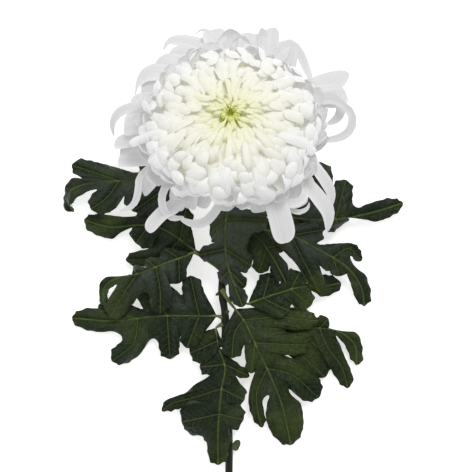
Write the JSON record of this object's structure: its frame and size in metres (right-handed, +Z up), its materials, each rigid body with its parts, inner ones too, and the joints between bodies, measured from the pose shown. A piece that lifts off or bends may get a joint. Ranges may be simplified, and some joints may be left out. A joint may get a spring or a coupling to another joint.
{
  "type": "disbud chrysanthemum",
  "caption": "Cut white chrysanthemum with one large incurved bloom and lobed leaves, lying on a surface with its bloom facing up.",
  "frame": {"origin": "on the surface that the flower lies on, under the middle of its bounding box", "axes": "+Z up from the surface; +Y along the stem from its cut end towards the bloom; +X to the right as seen from above with the bloom at the top"},
  "size_m": [0.2101, 0.3354, 0.0955],
  "materials": {
    "petal_white": "soft matte petal",
    "eye_green": "soft matte floret",
    "bract_green": "matte leafy",
    "stem_green": "matte green stem",
    "leaf_green": "satin leaf"
  },
  "bodies": {
    "root": {"stem": "stem_green", "involucre": "bract_green", "ray_petals": "petal_white", "eye_florets": "eye_green", "leaf_bloom_left": "leaf_green", "leaf_bloom_right": "leaf_green", "leaf_front_centre": "leaf_green", "leaf_under_bloom": "leaf_green", "leaf_right_middle": "leaf_green", "leaf_left_upper": "leaf_green", "leaf_left_middle": "leaf_green", "leaf_left_lower": "leaf_green", "leaf_front_large": "leaf_green", "leaf_behind_large": "leaf_green", "leaf_bottom": "leaf_green", "leaf_right_lower": "leaf_green"}
  },
  "joints": []
}
